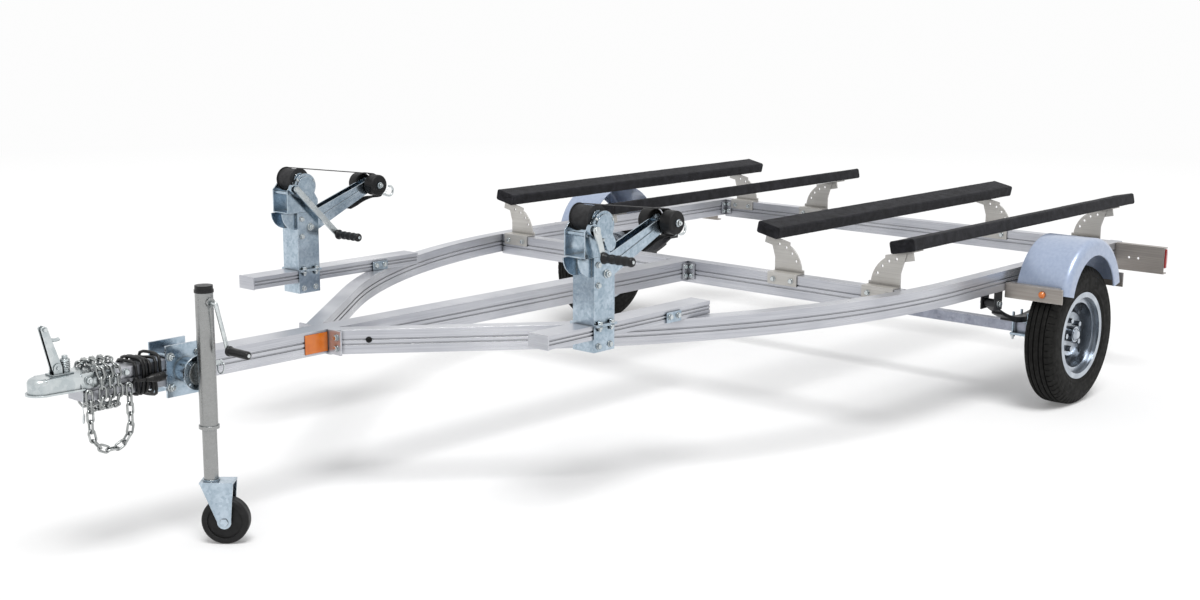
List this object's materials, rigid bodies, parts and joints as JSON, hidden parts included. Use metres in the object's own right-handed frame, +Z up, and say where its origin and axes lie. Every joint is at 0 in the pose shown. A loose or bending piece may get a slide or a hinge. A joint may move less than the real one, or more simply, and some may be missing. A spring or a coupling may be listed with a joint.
{
  "type": "boat trailer",
  "caption": "Aluminium trailer for two personal watercraft, with carpeted bunks, winch stands, leaf-sprung axle, fenders and a swing jack.",
  "frame": {"origin": "on the ground, under the middle of the trailer's overall box", "axes": "+X forward to the coupler, +Y to the left side, +Z up"},
  "size_m": [4.553, 2.57, 0.9323],
  "materials": {
    "aluminium": "bare extruded aluminium, slightly streaked",
    "galvanised": "hot-dip galvanised steel with a faint spangle",
    "zinc": "bright zinc plate",
    "carpet": "black marine carpet",
    "black_paint": "satin black paint",
    "wheel_silver": "galvanised steel wheel",
    "tyre": "black tyre rubber",
    "fender_paint": "pale blue-silver paint",
    "red_lens": "moulded red lens",
    "amber_lens": "moulded amber lens",
    "black_plastic": "moulded black plastic",
    "black_rubber": "moulded black rubber",
    "strap_webbing": "woven black webbing"
  },
  "bodies": {
    "frame": {"tongue": "aluminium", "rail_left": "aluminium", "rail_right": "aluminium", "crossmember_front": "aluminium", "crossmember_rear": "aluminium", "frame_brackets": "aluminium", "winch_beam_left": "aluminium", "winch_beam_right": "aluminium", "beam_clamps": "galvanised", "bunk_left_outer": "carpet", "bunk_left_inner": "carpet", "bunk_right_inner": "carpet", "bunk_right_outer": "carpet", "bunk_brackets_front": "aluminium", "bunk_brackets_rear": "aluminium", "axle_beam": "galvanised", "leaf_springs": "black_paint", "spring_hangers": "black_paint", "spring_clamps": "galvanised", "fender_left": "fender_paint", "fender_right": "fender_paint", "fender_brackets": "aluminium", "tail_brackets": "aluminium", "tail_lamps": "red_lens", "marker_lamps": "amber_lens", "coupler": "zinc", "coupler_latch": "zinc", "safety_chains": "zinc", "wiring_harness": "black_plastic", "harness_plug": "black_plastic", "jack_bracket": "galvanised", "winch_posts": "galvanised", "winch_arms": "galvanised", "winch_frames": "galvanised", "winch_straps": "strap_webbing"},
    "wheel_left": {"tyre_left": "tyre", "rim_left": "wheel_silver", "hub_left": "wheel_silver"},
    "wheel_right": {"tyre_right": "tyre", "rim_right": "wheel_silver", "hub_right": "wheel_silver"},
    "jack": {"jack_tube": "galvanised", "jack_cap": "black_plastic", "jack_crank": "zinc", "jack_grip": "black_plastic"},
    "jack_leg": {"jack_inner_tube": "galvanised"},
    "jack_caster": {"jack_fork": "galvanised"},
    "jack_foot_wheel": {"jack_wheel": "black_rubber"},
    "drum_left": {"winch_drum_left": "strap_webbing"},
    "drum_right": {"winch_drum_right": "strap_webbing"},
    "crank_left": {"winch_crank_left": "zinc", "winch_grip_left": "black_plastic"},
    "crank_right": {"winch_crank_right": "zinc", "winch_grip_right": "black_plastic"},
    "rollers_left": {"bow_rollers_left": "black_rubber"},
    "rollers_right": {"bow_rollers_right": "black_rubber"}
  },
  "joints": [
    {"name": "wheel_left_spin", "type": "hinge", "parent": "frame", "child": "wheel_left", "pos_m": [-1.3625, 1.196, 0.268], "axis": [0, 1, 0], "continuous": true},
    {"name": "wheel_right_spin", "type": "hinge", "parent": "frame", "child": "wheel_right", "pos_m": [-1.3625, -1.196, 0.268], "axis": [0, 1, 0], "continuous": true},
    {"name": "jack_swing", "type": "hinge", "parent": "frame", "child": "jack", "pos_m": [1.8175, 0.1206, 0.49], "axis": [0, 1, 0], "range_deg": [0, 90]},
    {"name": "jack_extend", "type": "slide", "parent": "jack", "child": "jack_leg", "axis": [0, 0, 1], "range_m": [-0.1, 0.14]},
    {"name": "jack_swivel", "type": "hinge", "parent": "jack_leg", "child": "jack_caster", "pos_m": [1.8175, 0.152, 0.19], "axis": [0, 0, 1], "continuous": true},
    {"name": "jack_wheel_spin", "type": "hinge", "parent": "jack_caster", "child": "jack_foot_wheel", "pos_m": [1.79207, 0.18024, 0.068], "axis": [-0.7431, -0.6691, 0], "continuous": true},
    {"name": "winch_drum_left_spin", "type": "hinge", "parent": "frame", "child": "drum_left", "pos_m": [0.8425, 0.704, 0.8903], "axis": [0, 1, 0], "continuous": true},
    {"name": "winch_crank_left_spin", "type": "hinge", "parent": "frame", "child": "crank_left", "pos_m": [0.8775, 0.704, 0.8623], "axis": [0, 1, 0], "continuous": true},
    {"name": "bow_roller_left_spin", "type": "hinge", "parent": "frame", "child": "rollers_left", "pos_m": [0.4995, 0.704, 0.845], "axis": [0, 1, 0], "continuous": true},
    {"name": "winch_drum_right_spin", "type": "hinge", "parent": "frame", "child": "drum_right", "pos_m": [0.8425, -0.704, 0.8903], "axis": [0, 1, 0], "continuous": true},
    {"name": "winch_crank_right_spin", "type": "hinge", "parent": "frame", "child": "crank_right", "pos_m": [0.8775, -0.704, 0.8623], "axis": [0, 1, 0], "continuous": true},
    {"name": "bow_roller_right_spin", "type": "hinge", "parent": "frame", "child": "rollers_right", "pos_m": [0.4995, -0.704, 0.845], "axis": [0, 1, 0], "continuous": true}
  ],
  "couplings": [
    {"joint": "winch_crank_left_spin", "follows": "winch_drum_left_spin", "ratio": -3.2},
    {"joint": "winch_crank_right_spin", "follows": "winch_drum_right_spin", "ratio": -3.2}
  ]
}
